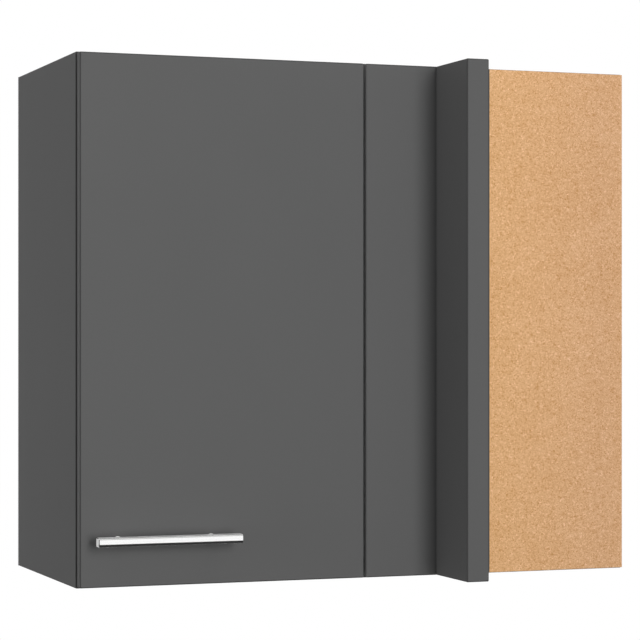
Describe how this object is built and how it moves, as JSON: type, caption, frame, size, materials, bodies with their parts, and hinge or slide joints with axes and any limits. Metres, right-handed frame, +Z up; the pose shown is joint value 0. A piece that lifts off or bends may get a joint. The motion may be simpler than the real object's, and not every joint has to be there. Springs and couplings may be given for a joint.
{
  "type": "corner wall cabinet",
  "caption": "Corner wall cabinet with a side-hung door, a filler and return panel at the corner, a raw blind panel, loose shelves and concealed wall hangers.",
  "frame": {"origin": "on the wall plane, at the middle of the bottom panel's rear edge: half way along the cabinet's width and 8 mm above its underside", "axes": "+Z up, +Y into the wall, +X along the wall to the right as seen from the room; the door faces -Y"},
  "size_m": [0.8, 0.4546, 0.704],
  "materials": {
    "graphite_board": "matt graphite melamine facing on chipboard",
    "raw_chipboard": "sanded raw chipboard",
    "hardboard": "thin hardboard, graphite print inside",
    "brushed_steel": "bright brushed steel look",
    "nickel_steel": "nickel plated steel fittings",
    "white_plastic": "white moulded plastic",
    "clear_rubber": "translucent soft bumper"
  },
  "bodies": {
    "carcass": {"side_panel_left": "graphite_board", "side_panel_right": "graphite_board", "bottom_panel": "graphite_board", "top_panel": "graphite_board", "back_panel": "hardboard", "hinge_stile": "graphite_board", "filler_batten": "graphite_board", "joint_batten": "graphite_board", "shelf_lower": "graphite_board", "shelf_upper": "graphite_board", "filler_panel": "graphite_board", "return_panel": "graphite_board", "blind_panel": "raw_chipboard", "shelf_pin_lower_left_front": "nickel_steel", "shelf_pin_lower_left_rear": "nickel_steel", "shelf_pin_lower_right_front": "nickel_steel", "shelf_pin_lower_right_rear": "nickel_steel", "shelf_pin_upper_left_front": "nickel_steel", "shelf_pin_upper_left_rear": "nickel_steel", "shelf_pin_upper_right_front": "nickel_steel", "shelf_pin_upper_right_rear": "nickel_steel", "cam_bottom_left_front": "nickel_steel", "cam_bottom_left_rear": "nickel_steel", "cam_bottom_right_front": "nickel_steel", "cam_bottom_right_rear": "nickel_steel", "cam_top_left_front": "nickel_steel", "cam_top_left_rear": "nickel_steel", "cam_top_right_front": "nickel_steel", "cam_top_right_rear": "nickel_steel", "hinge_plate_lower": "nickel_steel", "hinge_plate_upper": "nickel_steel", "hinge_plate_screw_lower_a": "nickel_steel", "hinge_plate_screw_lower_b": "nickel_steel", "hinge_plate_screw_upper_a": "nickel_steel", "hinge_plate_screw_upper_b": "nickel_steel", "hinge_arm_lower": "nickel_steel", "hinge_arm_upper": "nickel_steel", "hinge_arm_screw_lower": "nickel_steel", "hinge_arm_screw_upper": "nickel_steel", "hanger_housing_left": "white_plastic", "hanger_housing_right": "white_plastic", "hanger_height_screw_left": "nickel_steel", "hanger_height_screw_right": "nickel_steel"},
    "door": {"door_panel": "graphite_board", "handle_bar": "brushed_steel", "handle_post_left": "brushed_steel", "handle_post_right": "brushed_steel", "handle_screw_left": "nickel_steel", "handle_screw_right": "nickel_steel", "door_bumper_lower": "clear_rubber", "door_bumper_upper": "clear_rubber", "hinge_cup_lower": "nickel_steel", "hinge_cup_upper": "nickel_steel", "hinge_pin_lower": "nickel_steel", "hinge_pin_upper": "nickel_steel"},
    "depth_screw_left": {"hanger_depth_screw_left": "nickel_steel"},
    "depth_screw_right": {"hanger_depth_screw_right": "nickel_steel"},
    "hook_left": {"hanger_hook_left": "nickel_steel"},
    "hook_right": {"hanger_hook_right": "nickel_steel"}
  },
  "joints": [
    {"name": "door_swing", "type": "hinge", "parent": "carcass", "child": "door", "pos_m": [-0.0091, -0.3426, 0.344], "axis": [0, 0, 1], "range_deg": [0, 95]},
    {"name": "hook_depth_left", "type": "slide", "parent": "carcass", "child": "depth_screw_left", "axis": [0, -1, 0], "range_m": [0, 0.006]},
    {"name": "hook_depth_right", "type": "slide", "parent": "carcass", "child": "depth_screw_right", "axis": [0, -1, 0], "range_m": [0, 0.006]},
    {"name": "hook_height_left", "type": "slide", "parent": "depth_screw_left", "child": "hook_left", "axis": [0, 0, 1], "range_m": [0, 0.01]},
    {"name": "hook_height_right", "type": "slide", "parent": "depth_screw_right", "child": "hook_right", "axis": [0, 0, 1], "range_m": [0, 0.01]}
  ]
}
